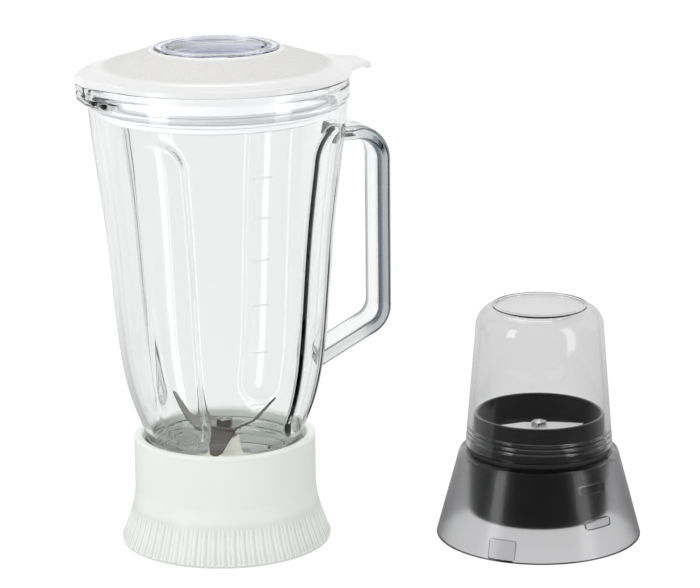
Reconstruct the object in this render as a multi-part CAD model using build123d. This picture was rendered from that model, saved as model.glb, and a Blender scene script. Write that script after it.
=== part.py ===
from build123d import *
import math
import os

# Jug and dry mill attachments of a small blender, in millimetres.
# The jug's axis is Z and its base collar stands on z = 0. The spout points to -X, the handle to +X
# and the measuring scale faces -Y. The mill stands beside the jug on its own axis.

# ---- Base collar: screws the blade unit to the jug's foot ----
collar_height = 55.6
collar_top_r = 46.4
collar_foot_r = 53.4
collar_land = 2.2
collar_flare_height = 27.8
flare_lean = 1.0
flare_bend_share = 0.55
collar_edge_round = 1.4
collar_bore_r = 41.8
ledge_height = 33.0
ledge_thickness = 3.0
ledge_bore_r = 36.1
collar_cavity_r = 43.3
motor_seat_r = 46.4
motor_seat_depth = 8.0

# ---- Blade unit, shared sizes of the jug's and the mill's drive ----
shaft_r = 3.4
stud_r = 2.3
bush_r = 5.5
bush_length = 10.0
bush_clearance = 0.04
seal_height = 4.5
seal_clearance = 0.08
tube_r = 8.5
tube_low = 17.5
boss_top_r = 7.2
boss_round = 1.0
bore_relief = 0.8
spacer_gap = 0.3
blade_thickness = 1.2
nut_flats = 7.4
nut_height = 3.6
nut_cover = 1.0
nut_point_r = 4.6
nut_shoulder = 2.2
clip_thickness = 0.9
clip_r = 6.0
clip_groove = 0.6
clip_gap = 0.4
coupling_r = 13.0
coupling_height = 6.4
coupling_gap = 0.4
coupling_socket_r = 8.0
coupling_socket_depth = 4.0
coupling_teeth = 6
coupling_tooth = 3.0
coupling_tooth_round = 0.6

# ---- Jug blade unit ----
hub_fit = 0.6
flange_thickness = 3.0
hub_cone_r = 22.7
hub_cone_round = 3.0
hub_boss_r = 8.6
hub_boss_round = 4.0
hub_boss_rise = 9.3
hub_top_rise = 21.4
spigot_fit = 0.5
spigot_depth = 2.5
spigot_wall = 2.6
jug_spacer_height = 3.4
jug_spacer_r = 5.0
lower_blade_reach = 29.9
lower_blade_drop = 8.2
upper_blade_reach = 27.0
upper_blade_knee = 17.0
upper_knee_rise = 4.1
upper_tip_rise = 15.5
blade_flat = 8.0
blade_width = 14.4
blade_tip_width = 4.0
blade_tip_skew = 0.12
blade_tip_back = 0.94
upper_blade_bearing = -42.0
lower_blade_bearing = 58.0
gasket_thickness = 2.2
gasket_inset = 0.6
soft_clearance = 0.3

# ---- Jug ----
jug_wall = 3.0
neck_r = 39.7
bowl_r = 47.0
bowl_rise = 19.2
belly_r = 52.7
belly_rise = 49.4
body_r = 58.2
body_rise = 113.7
shoulder_r = 64.1
shoulder_rise = 163.8
rim_rise = 184.9
rim_r = 65.9
rim_depth = 9.8
rim_neck_r = 64.8
rim_turn_share = 0.2
flute_count = 4
flute_r = 16.5
flute_depth = 4.3
flute_top_gap = 27.3
flute_foot_rise = 13.4
flute_foot_slope = 0.42
flute_top_slope = 0.11
spout_reach = 71.0
spout_half_width = 7.6
spout_touch = 31.7
spout_root = 10.0
spout_corner = 5.0
spout_depth = 9.8
spout_under_round = 3.5
scale_marks = 6
scale_volume = 200000.0
level_step = 0.5
flute_share = 0.03
blade_unit_volume = 16000.0
scale_bearing = -87.7
scale_arc = 8.6
mark_height = 0.9
mark_relief = 0.45

# ---- Jug handle ----
strap_width = 22.7
strap_thickness = 7.0
strap_edge = 2.2
grip_out = 84.65
arm_drop = 33.1
grip_foot_rise = 53.0
arm_foot_rise = 34.9
grip_top_bend = 14.4
grip_foot_bend = 12.4

# ---- Lid, seal and centre cap ----
lid_gap = 0.2
lid_rise = 13.9
lid_r = 67.0
lid_rim_thickness = 2.9
dome_edge_r = 59.3
dome_edge_rise = 4.9
dome_edge_round = 2.0
lid_rim_round = 1.4
lid_wall = 2.2
lid_skirt_r = 55.1
lid_skirt_depth = 19.3
lid_skirt_wall = 2.0
beak_reach = 71.3
beak_half_width = 8.2
beak_thickness = 4.1
beak_touch = 31.0
beak_root = 10.0
beak_round = 5.0
tab_reach = 78.2
tab_half_width = 8.8
tab_root = 9.0
tab_root_half_width = 30.9
tab_waist_reach = 2.5
tab_waist_half_width = 14.8
tab_thickness = 2.4
tab_lip = 3.4
seal_body = 1.7
seal_rise = 0.8
seal_fin_inset = 0.8
seal_fin_tip = 0.3
seal_band_height = 7.2
seal_fin_height = 1.4
cap_r = 31.2
cap_seat_gap = 0.4
cap_thickness = 2.3
cap_proud = 1.1
cap_plug_r = 27.4
cap_plug_fit = 0.6
cap_plug_depth = 19.6
cap_wall = 2.2
cap_dish_r = 25.2
cap_dish_floor_r = 22.2
cap_dish_depth = 3.5
cap_bar_width = 10.7
cap_bar_grip = 1.5
cap_bar_drop = 0.6
cap_bar_crown = 1.4
cap_bar_bearing = -10.0

# ---- Dry mill ----
mill_distance = 161.1
mill_bearing = -20.0
skirt_foot_r = 52.5
skirt_top_r = 40.5
skirt_height = 45.1
skirt_wall = 2.2
skirt_round = 2.5
skirt_lug_sets = 2
lug_relief = 1.6
lug_corner = 1.2
ramp_lug_length = 15.5
ramp_lug_height = 4.3
ramp_lug_bearing = -73.0
ramp_lug_rises = (33.0, 16.0)
foot_lug_width = 14.0
foot_lug_height = 9.8
foot_lug_bearing = -135.8
carrier_r = 35.3
carrier_foot = 12.4
carrier_wall = 2.3
carrier_ring_r = 33.3
carrier_ring_wall = 2.0
carrier_top = 64.9
carrier_floor = 48.9
carrier_floor_wall = 3.0
carrier_boss_top = 53.6
carrier_dish_round = 4.0
carrier_dish_taper = 0.6
carrier_ring_grow = 1.5
skirt_ring_fit = 0.2
mill_gasket_thickness = 1.8
mill_gasket_width = 3.0
cup_foot_r = 37.7
cup_top_r = 31.8
cup_top = 120.5
cup_wall = 2.3
cup_round = 10.3
cup_ring_r = 24.1
cup_ring_width = 1.6
cup_ring_relief = 0.8
mill_spacer_height = 1.8
mill_spacer_r = 5.6
mill_blade_reach = 23.1
mill_blade_width = 12.4
mill_blade_bearing = -20.0

# ---- Edge roundings that pieces share ----
fine_round = 0.5
soft_round = 0.8
corner_round = 1.4

# ---- Steps of the searches for a height on a curve ----
halvings = 24

# ---- Heights and radii that follow ----
flange_top = ledge_height + flange_thickness
hub_top = ledge_height + hub_top_rise
jug_foot = flange_top + gasket_thickness + soft_clearance
rim_z = collar_height + rim_rise
lid_z = rim_z + lid_gap
lid_top = rim_z + lid_rise
dome_edge_z = rim_z + dome_edge_rise
skirt_ring_low = skirt_height - skirt_wall
cup_foot = skirt_height + mill_gasket_thickness + soft_clearance
mill_x = mill_distance * math.cos(math.radians(mill_bearing))
mill_y = mill_distance * math.sin(math.radians(mill_bearing))


def turned(*corners):
    """Solid of revolution about Z. Each corner is (radius, height) or (radius, height, rounding)."""
    points = [corner[:2] for corner in corners]
    rounding = [corner[2] if len(corner) == 3 else 0 for corner in corners]
    outline = FilletPolyline(*points, radius=rounding, close=True)
    return revolve(Plane.XZ * make_face(outline), Axis.Z)


def ring(outer, inner, low, high):
    """A plain ring about Z between two heights."""
    return Pos(0, 0, low) * extrude(Circle(outer) - Circle(inner), high - low)


def disc(radius, low, high):
    """A plain round bar about Z between two heights."""
    return Pos(0, 0, low) * extrude(Circle(radius), high - low)


def wall_stations(grow):
    """The jug wall's outer line above the collar, moved outward by grow."""
    rises = (0, bowl_rise, belly_rise, body_rise, shoulder_rise)
    radii = (neck_r, bowl_r, belly_r, body_r, shoulder_r)
    return [(radius + grow, collar_height + rise) for radius, rise in zip(radii, rises)]


def wall_radius(height):
    """Outer radius of the jug wall at a height above the collar."""
    line = Spline(*wall_stations(0))
    low, high = 0.0, 1.0
    for _ in range(halvings):
        middle = (low + high) / 2
        if line.position_at(middle).Y < height:
            low = middle
        else:
            high = middle
    return line.position_at(low).X


# ---- Base collar ----

def make_collar():
    flare = Bezier(
        (collar_foot_r, collar_land),
        (collar_top_r + flare_lean, collar_flare_height * flare_bend_share),
        (collar_top_r, collar_flare_height),
    )
    foot = Polyline((motor_seat_r, 0), (collar_foot_r, 0), (collar_foot_r, collar_land))
    inside = Polyline(
        (collar_top_r, collar_flare_height),
        (collar_top_r, collar_height),
        (collar_bore_r, collar_height),
        (collar_bore_r, ledge_height),
        (ledge_bore_r, ledge_height),
        (ledge_bore_r, ledge_height - ledge_thickness),
        (collar_cavity_r, ledge_height - ledge_thickness),
        (collar_cavity_r, motor_seat_depth),
        (motor_seat_r, motor_seat_depth),
        (motor_seat_r, 0),
    )
    shell = make_face(foot.edges() + flare.edges() + inside.edges())
    top_corners = shell.vertices().group_by(Axis.Y)[-1]
    return revolve(Plane.XZ * fillet(top_corners, collar_edge_round), Axis.Z)


# ---- Drives: a shaft in two bushes with seal, clip and coupling, used by the jug and by the mill ----

def bush_bore(boss_top):
    """Corners of a carrier's bore, from its boss down to the foot of its bearing tube."""
    pocket = boss_top - seal_height - soft_clearance - bush_length
    relief_r = shaft_r + bore_relief
    return [
        (bush_r, boss_top),
        (bush_r, pocket),
        (relief_r, pocket),
        (relief_r, tube_low + bush_length),
        (bush_r, tube_low + bush_length),
        (bush_r, tube_low),
        (tube_r, tube_low),
    ]


def make_drive(boss_top, blade_low, blade_high, spacer_r):
    """Shapes of one drive, by name. The blades sit between two heights on the shaft's stud."""
    shoulder = boss_top + spacer_gap
    coupling_low = tube_low - clip_gap - clip_thickness - coupling_gap - coupling_height
    clip_low = tube_low - clip_gap - clip_thickness
    stud_top = blade_high + nut_height - nut_cover
    shaft_low = coupling_low + coupling_socket_depth

    shaft = disc(shaft_r, shaft_low, shoulder) + disc(stud_r, shoulder, stud_top)
    shaft -= ring(shaft_r + 1, shaft_r - clip_groove, clip_low, clip_low + clip_thickness)

    clip = ring(clip_r, shaft_r - clip_groove, clip_low, clip_low + clip_thickness)
    clip -= Pos(clip_r, 0, clip_low) * Box(clip_r * 2, shaft_r, clip_thickness * 3)

    seal_low = boss_top - seal_height - soft_clearance
    seal = ring(bush_r, shaft_r + seal_clearance, seal_low, seal_low + seal_height)
    upper_bush = ring(bush_r, shaft_r + bush_clearance, seal_low - bush_length, seal_low)
    lower_bush = ring(bush_r, shaft_r + bush_clearance, tube_low, tube_low + bush_length)

    coupling = disc(coupling_r, coupling_low, coupling_low + coupling_height)
    coupling -= disc(shaft_r, shaft_low, coupling_low + coupling_height)
    socket = Circle(coupling_socket_r)
    tooth = Pos(coupling_socket_r, 0) * RectangleRounded(
        coupling_tooth * 2, coupling_tooth, coupling_tooth_round
    )
    socket += [Rot(0, 0, index * 360 / coupling_teeth) * tooth for index in range(coupling_teeth)]
    coupling -= Pos(0, 0, coupling_low) * extrude(socket, coupling_socket_depth)

    nut = extrude(RegularPolygon(nut_flats / 2, 6, major_radius=False), nut_height)
    crown = turned((0, 0), (nut_point_r, 0), (nut_point_r, nut_shoulder), (0, nut_height))
    nut = Pos(0, 0, blade_high) * (nut & crown)
    nut -= disc(stud_r, blade_high, stud_top)

    spacer = ring(spacer_r, stud_r, shoulder, blade_low)
    return {
        "shaft": shaft,
        "retaining_clip": clip,
        "shaft_seal": seal,
        "upper_bush": upper_bush,
        "lower_bush": lower_bush,
        "drive_coupling": coupling,
        "blade_nut": nut,
        "blade_spacer": spacer,
    }


def make_blade(low, knees, width, tip_width, bearing):
    """A two-winged knife: a strip bent at (reach, rise) knees and trimmed to a pinwheel outline."""
    under = [(-reach, rise) for reach, rise in reversed(knees)] + list(knees)
    over = [(reach, rise + blade_thickness) for reach, rise in reversed(under)]
    strip = extrude(Plane.XZ * make_face(Polyline(*under, *over, close=True)), width, both=True)
    tip = knees[-1][0]
    half = [
        (knees[0][0], -width / 2),
        (tip * blade_tip_back, width * blade_tip_skew - tip_width / 2),
        (tip, width * blade_tip_skew + tip_width / 2),
        (knees[0][0], width / 2),
    ]
    outline = half + [(-x, -y) for x, y in half]
    lowest = min(rise for _, rise in knees)
    highest = max(rise for _, rise in knees) + blade_thickness
    trim = make_face(Polyline(*outline, close=True))
    prism = Pos(0, 0, lowest - 1) * extrude(trim, highest - lowest + 2)
    knife = strip & prism
    knife -= disc(stud_r, -blade_thickness, blade_thickness * 2)
    return Pos(0, 0, low) * Rot(0, 0, bearing) * knife


# ---- Jug's blade unit ----

def make_hub():
    flange_r = collar_bore_r - hub_fit
    spigot_r = ledge_bore_r - spigot_fit
    corners = [
        (flange_r, ledge_height),
        (flange_r, flange_top),
        (hub_cone_r, flange_top, hub_cone_round),
        (hub_boss_r, flange_top + hub_boss_rise, hub_boss_round),
        (boss_top_r, hub_top, boss_round),
    ]
    corners += bush_bore(hub_top)
    corners += [
        (tube_r, ledge_height),
        (spigot_r - spigot_wall, ledge_height),
        (spigot_r - spigot_wall, ledge_height - spigot_depth),
        (spigot_r, ledge_height - spigot_depth),
        (spigot_r, ledge_height),
    ]
    return turned(*corners)


def make_gasket():
    return ring(neck_r, neck_r - jug_wall - gasket_inset, flange_top, flange_top + gasket_thickness)


# ---- Jug ----

def wall_solid(grow, foot, top_radius):
    """A solid jug body whose wall line is moved outward by grow, from the foot to the rim."""
    stations = wall_stations(grow)
    shoulder_z = stations[-1][1]
    side = Spline(*stations)
    ends = Polyline(
        stations[-1],
        (rim_neck_r + grow, rim_z - rim_depth - (rim_z - rim_depth - shoulder_z) * rim_turn_share),
        (top_radius, rim_z - rim_depth),
        (top_radius, rim_z),
        (0, rim_z),
        (0, foot),
        (neck_r + grow, foot),
        stations[0],
    )
    return revolve(Plane.XZ * make_face(side.edges() + ends.edges()), Axis.Z)


def make_flutes(grow):
    """Rods that press the flutes into the wall: round ended and parallel to it."""
    stations = wall_stations(flute_r - flute_depth)
    start = (stations[0][0] + flute_foot_rise * flute_foot_slope, collar_height + flute_foot_rise)
    top = rim_z - flute_top_gap - math.sqrt(flute_r**2 - (flute_r - flute_depth) ** 2)
    end = (stations[-1][0] - (stations[-1][1] - top) * flute_top_slope, top)
    path = Plane.XZ * Spline(start, stations[1], stations[2], stations[3], end)
    profile = Plane(origin=path @ 0, z_dir=path % 0) * Circle(flute_r + grow)
    rod = sweep(profile, path)
    rod += Pos(*(path @ 0)) * Sphere(flute_r + grow)
    rod += Pos(*(path @ 1)) * Sphere(flute_r + grow)
    step = 360 / flute_count
    return [Rot(0, 0, step * (index + 0.5)) * rod for index in range(flute_count)]


def pointed_plan(round_r, touch, root, reach, half_width, corner):
    """Flat outline of a point towards -X, whose sides run smoothly out of a circle about Z."""
    touch_x = -math.sqrt(round_r**2 - touch**2)
    outline = FilletPolyline(
        (touch_x + root, touch),
        (touch_x, touch),
        (-reach, half_width),
        (-reach, -half_width),
        (touch_x, -touch),
        (touch_x + root, -touch),
        radius=[0, corner, corner, corner, corner, 0],
        close=True,
    )
    return make_face(outline)


def pointed_block(plan, low, high, under_round):
    """The plan raised between two heights, with its lower edge rounded away from the root."""
    block = Pos(0, 0, low) * extrude(plan, high - low)
    root_x = block.bounding_box().max.X
    lower = block.faces().sort_by(Axis.Z)[0].edges()
    return fillet(lower.filter_by(lambda edge: edge.center().X < root_x - fine_round), under_round)


def make_spout(inset):
    """The rim's point: a shallow channel cut level with the rim, moved inward by inset."""
    plan = pointed_plan(
        rim_r, spout_touch, spout_root, spout_reach, spout_half_width, spout_corner
    )
    under_round = spout_under_round
    if inset:
        plan = offset(plan, -inset)
        under_round = fine_round
    return pointed_block(plan, rim_z - spout_depth + inset, rim_z, under_round)


def handle_path():
    arm_z = rim_z - arm_drop
    foot_z = collar_height + arm_foot_rise
    top_wall = wall_radius(arm_z)
    foot_wall = wall_radius(foot_z)
    return Plane.XZ * FilletPolyline(
        (top_wall - jug_wall / 2, arm_z),
        (grip_out, arm_z),
        (grip_out, collar_height + grip_foot_rise),
        (foot_wall - jug_wall / 2, foot_z),
        radius=[grip_top_bend, grip_foot_bend],
    )


def make_handle():
    path = handle_path()
    start = Plane(origin=path @ 0, x_dir=(0, 1, 0), z_dir=path % 0)
    strap = sweep(start * RectangleRounded(strap_width, strap_thickness, strap_edge), path)
    return strap


def mark_heights():
    """Heights at which the jug holds each further measure, less what the blade unit takes up."""
    heights = []
    held = -blade_unit_volume
    level = jug_foot
    while len(heights) < scale_marks:
        inner = neck_r - jug_wall
        if level > collar_height:
            inner = wall_radius(level) - jug_wall
        held += math.pi * inner**2 * level_step * (1 - flute_share)
        level += level_step
        if held >= scale_volume * (len(heights) + 1):
            heights.append(level)
    return heights


def make_marks():
    """Raised measuring marks on the side that faces -Y."""
    marks = []
    for level in mark_heights():
        radius = wall_radius(level)
        outline = Pos(radius, level) * Rectangle(mark_relief * 2, mark_height)
        mark = revolve(Plane.XZ * outline, Axis.Z, scale_arc)
        marks.append(Rot(0, 0, scale_bearing - scale_arc / 2) * mark)
    return marks


def make_jug():
    outside = wall_solid(0, jug_foot, rim_r) + make_spout(0)
    for flute in make_flutes(0):
        outside -= flute
    outside += make_handle()
    outside += make_marks()
    inside = wall_solid(-jug_wall, jug_foot, rim_neck_r - jug_wall) + make_spout(jug_wall)
    for flute in make_flutes(jug_wall):
        inside -= flute
    return outside - inside


# ---- Lid, seal and cap ----

def make_lid():
    counterbore_r = cap_r + cap_seat_gap
    tube_in = cap_plug_r + cap_plug_fit
    seat = lid_top - cap_thickness - lid_gap
    rim_top = lid_z + lid_rim_thickness
    corners = [
        (counterbore_r, lid_top),
        (dome_edge_r, dome_edge_z, dome_edge_round),
        (lid_r, rim_top, lid_rim_round),
        (lid_r, lid_z, fine_round),
        (lid_skirt_r, lid_z),
        (lid_skirt_r, rim_z - lid_skirt_depth, fine_round),
        (lid_skirt_r - lid_skirt_wall, rim_z - lid_skirt_depth, fine_round),
        (lid_skirt_r - lid_skirt_wall, lid_z + lid_skirt_wall),
        (tube_in + lid_wall, seat - lid_wall),
        (tube_in + lid_wall, lid_top - cap_plug_depth),
        (tube_in, lid_top - cap_plug_depth),
        (tube_in, seat),
        (counterbore_r, seat),
    ]
    lid = turned(*corners)
    return lid + make_beak() + make_tab()


def make_beak():
    """The lid's point over the spout."""
    plan = pointed_plan(lid_r, beak_touch, beak_root, beak_reach, beak_half_width, beak_round)
    beak = Pos(0, 0, lid_z) * extrude(plan, beak_thickness)
    root_x = beak.bounding_box().max.X
    upper = beak.faces().sort_by(Axis.Z)[-1].edges()
    return fillet(upper.filter_by(lambda edge: edge.center().X < root_x - fine_round), corner_round)


def make_tab():
    """The thumb tab over the handle, with a lip turned down at its end."""
    low = lid_z + lid_rim_thickness - tab_thickness
    root = lid_r - tab_root
    waist = lid_r + tab_waist_reach
    outline = make_face(
        [
            Line((root, -tab_root_half_width), (root, tab_root_half_width)),
            ThreePointArc(
                (root, tab_root_half_width),
                (waist, tab_waist_half_width),
                (tab_reach, tab_half_width),
            ),
            Line((tab_reach, tab_half_width), (tab_reach, -tab_half_width)),
            ThreePointArc(
                (tab_reach, -tab_half_width),
                (waist, -tab_waist_half_width),
                (root, -tab_root_half_width),
            ),
        ]
    )
    plate = Pos(0, 0, low) * extrude(outline, tab_thickness)
    lip = Box(tab_thickness, tab_half_width * 2, tab_lip)
    tab = plate + Pos(tab_reach - tab_thickness / 2, 0, low + tab_thickness - tab_lip / 2) * lip
    end_edges = tab.edges().filter_by(Axis.Y).group_by(Axis.X)[-1]
    return fillet(end_edges.sort_by(Axis.Z)[-1], corner_round)


def make_lid_seal():
    low = rim_z - lid_skirt_depth + seal_rise
    fin_z = low + seal_band_height / 2
    fin_r = wall_radius(fin_z) - jug_wall - seal_fin_inset
    body_r = lid_skirt_r + seal_body
    return turned(
        (lid_skirt_r, low),
        (body_r, low, fine_round),
        (body_r, fin_z - seal_fin_height),
        (fin_r, fin_z, seal_fin_tip),
        (fin_r, fin_z + seal_fin_height, seal_fin_tip),
        (body_r, fin_z + seal_fin_height),
        (body_r, low + seal_band_height, fine_round),
        (lid_skirt_r, low + seal_band_height),
    )


def make_cap():
    flange_low = lid_top - cap_thickness
    cap_top = lid_top + cap_proud
    dish_floor = lid_top - cap_dish_depth
    plug_low = lid_top - cap_plug_depth
    cap = turned(
        (0, dish_floor),
        (cap_dish_floor_r, dish_floor, soft_round),
        (cap_dish_r, cap_top, soft_round),
        (cap_r, cap_top, soft_round),
        (cap_r, flange_low, fine_round),
        (cap_plug_r, flange_low),
        (cap_plug_r, plug_low, fine_round),
        (cap_plug_r - cap_wall, plug_low, fine_round),
        (cap_plug_r - cap_wall, dish_floor - cap_wall, corner_round),
        (0, dish_floor - cap_wall),
    )
    half = cap_dish_floor_r + cap_bar_grip
    end_z = cap_top - cap_bar_drop
    side = make_face(
        [
            Polyline((half, end_z), (half, dish_floor), (-half, dish_floor), (-half, end_z)),
            ThreePointArc((-half, end_z), (0, end_z + cap_bar_crown), (half, end_z)),
        ]
    )
    bar = extrude(Plane.XZ * side, cap_bar_width / 2, both=True)
    return cap + Rot(0, 0, cap_bar_bearing) * bar


# ---- Dry mill ----

def at_mill(shape):
    return Pos(mill_x, mill_y, 0) * shape


def make_lug(length, height, bearing, rise):
    """A locking lug on the inside of the skirt, centred at a height above its foot."""
    lean = (skirt_foot_r - skirt_top_r) / skirt_height
    inside = skirt_foot_r - skirt_wall
    band = turned(
        (inside + fine_round, 0),
        (inside + fine_round - lean * skirt_ring_low, skirt_ring_low),
        (inside - lug_relief - lean * skirt_ring_low, skirt_ring_low),
        (inside - lug_relief, 0),
    )
    face = RectangleRounded(length, height, lug_corner)
    block = Pos(inside / 2, 0, rise) * extrude(Plane.YZ * face, skirt_foot_r)
    return band & (Rot(0, 0, bearing) * block)


def make_skirt():
    inner_foot = skirt_foot_r - skirt_wall
    inner_top = skirt_top_r - skirt_wall + (skirt_foot_r - skirt_top_r) * skirt_wall / skirt_height
    skirt = turned(
        (skirt_foot_r, 0),
        (skirt_top_r, skirt_height, skirt_round),
        (carrier_ring_r + skirt_ring_fit, skirt_height),
        (carrier_ring_r + skirt_ring_fit, skirt_ring_low),
        (inner_top, skirt_ring_low, corner_round),
        (inner_foot, 0),
    )
    for index in range(skirt_lug_sets):
        step = index * 360 / skirt_lug_sets
        for rise in ramp_lug_rises:
            skirt += make_lug(ramp_lug_length, ramp_lug_height, ramp_lug_bearing + step, rise)
        skirt += make_lug(foot_lug_width, foot_lug_height, foot_lug_bearing + step, foot_lug_height / 2)
    return skirt


def make_carrier():
    inner_r = carrier_r - carrier_wall
    ring_in = carrier_ring_r - carrier_ring_wall
    under = carrier_floor - carrier_floor_wall
    corners = [
        (carrier_r, carrier_foot, soft_round),
        (carrier_r, skirt_ring_low, fine_round),
        (carrier_ring_r, skirt_ring_low),
        (carrier_ring_r, carrier_top, soft_round),
        (ring_in, carrier_top, soft_round),
        (ring_in - carrier_dish_taper, carrier_floor, carrier_dish_round),
        (boss_top_r + boss_round, carrier_floor, boss_round),
        (boss_top_r, carrier_boss_top, boss_round),
    ]
    corners += bush_bore(carrier_boss_top)
    corners += [
        (tube_r, under),
        (ring_in - carrier_ring_grow, under, soft_round),
        (inner_r, skirt_ring_low - carrier_wall, soft_round),
        (inner_r, carrier_foot, fine_round),
    ]
    return turned(*corners)


def make_mill_gasket():
    inner = carrier_ring_r + skirt_ring_fit
    return ring(inner + mill_gasket_width, inner, skirt_height, skirt_height + mill_gasket_thickness)


def make_cup():
    cup = turned(
        (0, cup_top),
        (cup_top_r, cup_top, cup_round),
        (cup_foot_r, cup_foot, fine_round),
        (cup_foot_r - cup_wall, cup_foot, fine_round),
        (cup_top_r - cup_wall, cup_top - cup_wall, cup_round - cup_wall),
        (0, cup_top - cup_wall),
    )
    raised = cup_top + cup_ring_relief
    return cup + ring(cup_ring_r, cup_ring_r - cup_ring_width, cup_top - fine_round, raised)


# ---- Build and write every piece ----

jug_blade_low = hub_top + spacer_gap + jug_spacer_height
jug_blade_top = jug_blade_low + blade_thickness * 2
mill_blade_low = carrier_boss_top + spacer_gap + mill_spacer_height
mill_blade_top = mill_blade_low + blade_thickness

lower_knees = [(blade_flat, 0), (lower_blade_reach, -lower_blade_drop)]
upper_knees = [(blade_flat, 0), (upper_blade_knee, upper_knee_rise), (upper_blade_reach, upper_tip_rise)]
mill_knees = [(blade_flat, 0), (mill_blade_reach, 0)]

parts = {
    "base_collar": make_collar(),
    "blade_hub": make_hub(),
    "jug_gasket": make_gasket(),
    "jug": make_jug(),
    "lid": make_lid(),
    "lid_seal": make_lid_seal(),
    "centre_cap": make_cap(),
    "lower_blade": make_blade(jug_blade_low, lower_knees, blade_width, blade_tip_width, lower_blade_bearing),
    "upper_blade": make_blade(
        jug_blade_low + blade_thickness, upper_knees, blade_width, blade_tip_width, upper_blade_bearing
    ),
    "mill_skirt": at_mill(make_skirt()),
    "mill_carrier": at_mill(make_carrier()),
    "mill_gasket": at_mill(make_mill_gasket()),
    "mill_cup": at_mill(make_cup()),
    "mill_blade": at_mill(
        make_blade(mill_blade_low, mill_knees, mill_blade_width, blade_tip_width, mill_blade_bearing)
    ),
}
for name, shape in make_drive(hub_top, jug_blade_low, jug_blade_top, jug_spacer_r).items():
    parts["jug_" + name] = shape
for name, shape in make_drive(carrier_boss_top, mill_blade_low, mill_blade_top, mill_spacer_r).items():
    parts["mill_" + name] = at_mill(shape)

os.makedirs("parts", exist_ok=True)
for name, shape in parts.items():
    export_step(shape, "parts/" + name + ".step")
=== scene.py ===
import math

import bmesh
import bpy
from mathutils import Matrix, Vector


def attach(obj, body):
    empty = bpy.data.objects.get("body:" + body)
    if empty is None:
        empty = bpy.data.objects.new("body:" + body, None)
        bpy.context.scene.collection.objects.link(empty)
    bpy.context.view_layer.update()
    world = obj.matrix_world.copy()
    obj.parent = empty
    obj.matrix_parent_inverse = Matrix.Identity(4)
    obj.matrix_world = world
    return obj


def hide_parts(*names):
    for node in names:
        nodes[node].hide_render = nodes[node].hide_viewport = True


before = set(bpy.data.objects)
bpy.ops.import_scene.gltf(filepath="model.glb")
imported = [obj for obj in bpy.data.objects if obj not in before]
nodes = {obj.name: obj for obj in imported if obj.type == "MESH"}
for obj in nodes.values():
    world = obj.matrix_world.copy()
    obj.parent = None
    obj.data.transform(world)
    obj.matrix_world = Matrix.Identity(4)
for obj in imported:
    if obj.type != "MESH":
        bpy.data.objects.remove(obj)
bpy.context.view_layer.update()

MM = 0.001


# ---- Shader maths: sockets that take Python's arithmetic ----

class Value:
    """One output of a shader tree. Arithmetic on it adds Math nodes."""

    def __init__(self, tree, socket):
        self.tree = tree
        self.socket = socket

    def math(self, operation, *others, clamp=False):
        settings = {"operation": operation, "use_clamp": clamp}
        inputs = {index: value for index, value in enumerate((self, *others))}
        return self.tree.add("ShaderNodeMath", settings, inputs)

    def __add__(self, other):
        return self.math("ADD", other)

    def __mul__(self, other):
        return self.math("MULTIPLY", other)

    def __sub__(self, other):
        return self.math("SUBTRACT", other)

    def __truediv__(self, other):
        return self.math("DIVIDE", other)

    def __rsub__(self, other):
        return self.tree.add("ShaderNodeMath", {"operation": "SUBTRACT"}, {0: other, 1: self})

    __radd__ = __add__
    __rmul__ = __mul__

    def clamped(self):
        return self.math("ADD", 0.0, clamp=True)

    def ramp(self, low, high):
        """0 below low, 1 above high and smooth between them."""
        settings = {"interpolation_type": "SMOOTHSTEP"}
        inputs = {"Value": self, "From Min": low, "From Max": high}
        return self.tree.add("ShaderNodeMapRange", settings, inputs)

    def past(self, step):
        """0 before a (start, end) step in millimetres, 1 after it."""
        return self.ramp(step[0] * MM, step[1] * MM)


class Tree:
    """A node tree that grows by one call for each node."""

    def __init__(self, nodes_of):
        self.nodes = nodes_of.nodes
        self.links = nodes_of.links

    def node(self, kind, settings=None, inputs=None):
        """A new node with its settings, then its sockets' values or links."""
        made = self.nodes.new(kind)
        for key, value in (settings or {}).items():
            setattr(made, key, value)
        for key, value in (inputs or {}).items():
            socket = made.inputs[key]
            if isinstance(value, Value):
                self.links.new(value.socket, socket)
            elif isinstance(value, tuple) and len(value) == 3 and socket.type == "RGBA":
                socket.default_value = (*value, 1.0)
            else:
                socket.default_value = value
        return made

    def add(self, kind, settings=None, inputs=None, output=0):
        """A new node's output, ready for arithmetic."""
        return Value(self, self.node(kind, settings, inputs).outputs[output])

    def place(self):
        """The piece's own coordinates, in metres."""
        return self.add("ShaderNodeTexCoord", output="Object")

    def axes(self, vector):
        split = self.node("ShaderNodeSeparateXYZ", inputs={0: vector})
        return [Value(self, split.outputs[index]) for index in range(3)]

    def noise(self, vector, scale, detail=3.0, roughness=0.5):
        inputs = {"Vector": vector, "Scale": scale, "Detail": detail, "Roughness": roughness}
        return self.add("ShaderNodeTexNoise", {}, inputs, "Fac")

    def mix(self, factor, first, second):
        """Two colours mixed: the first at 0, the second at 1."""
        settings = {"data_type": "RGBA", "blend_type": "MIX"}
        return self.add("ShaderNodeMix", settings, {0: factor, 6: first, 7: second}, output=2)

    def bump(self, height, distance, strength=1.0):
        inputs = {"Height": height, "Distance": distance, "Strength": strength}
        return self.add("ShaderNodeBump", {}, inputs)


def finish_of(name):
    """A new empty material and its tree."""
    material = bpy.data.materials.new(name)
    material.use_nodes = True
    material.node_tree.nodes.clear()
    return material, Tree(material.node_tree)


def principled(tree, inputs):
    return tree.add("ShaderNodeBsdfPrincipled", {}, inputs, output="BSDF")


def see_through(tree, colour):
    return tree.add("ShaderNodeBsdfTransparent", {}, {"Color": colour}, output="BSDF")


def blended(tree, factor, first, second):
    return tree.add("ShaderNodeMixShader", {}, {0: factor, 1: first, 2: second}, output="Shader")


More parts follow.
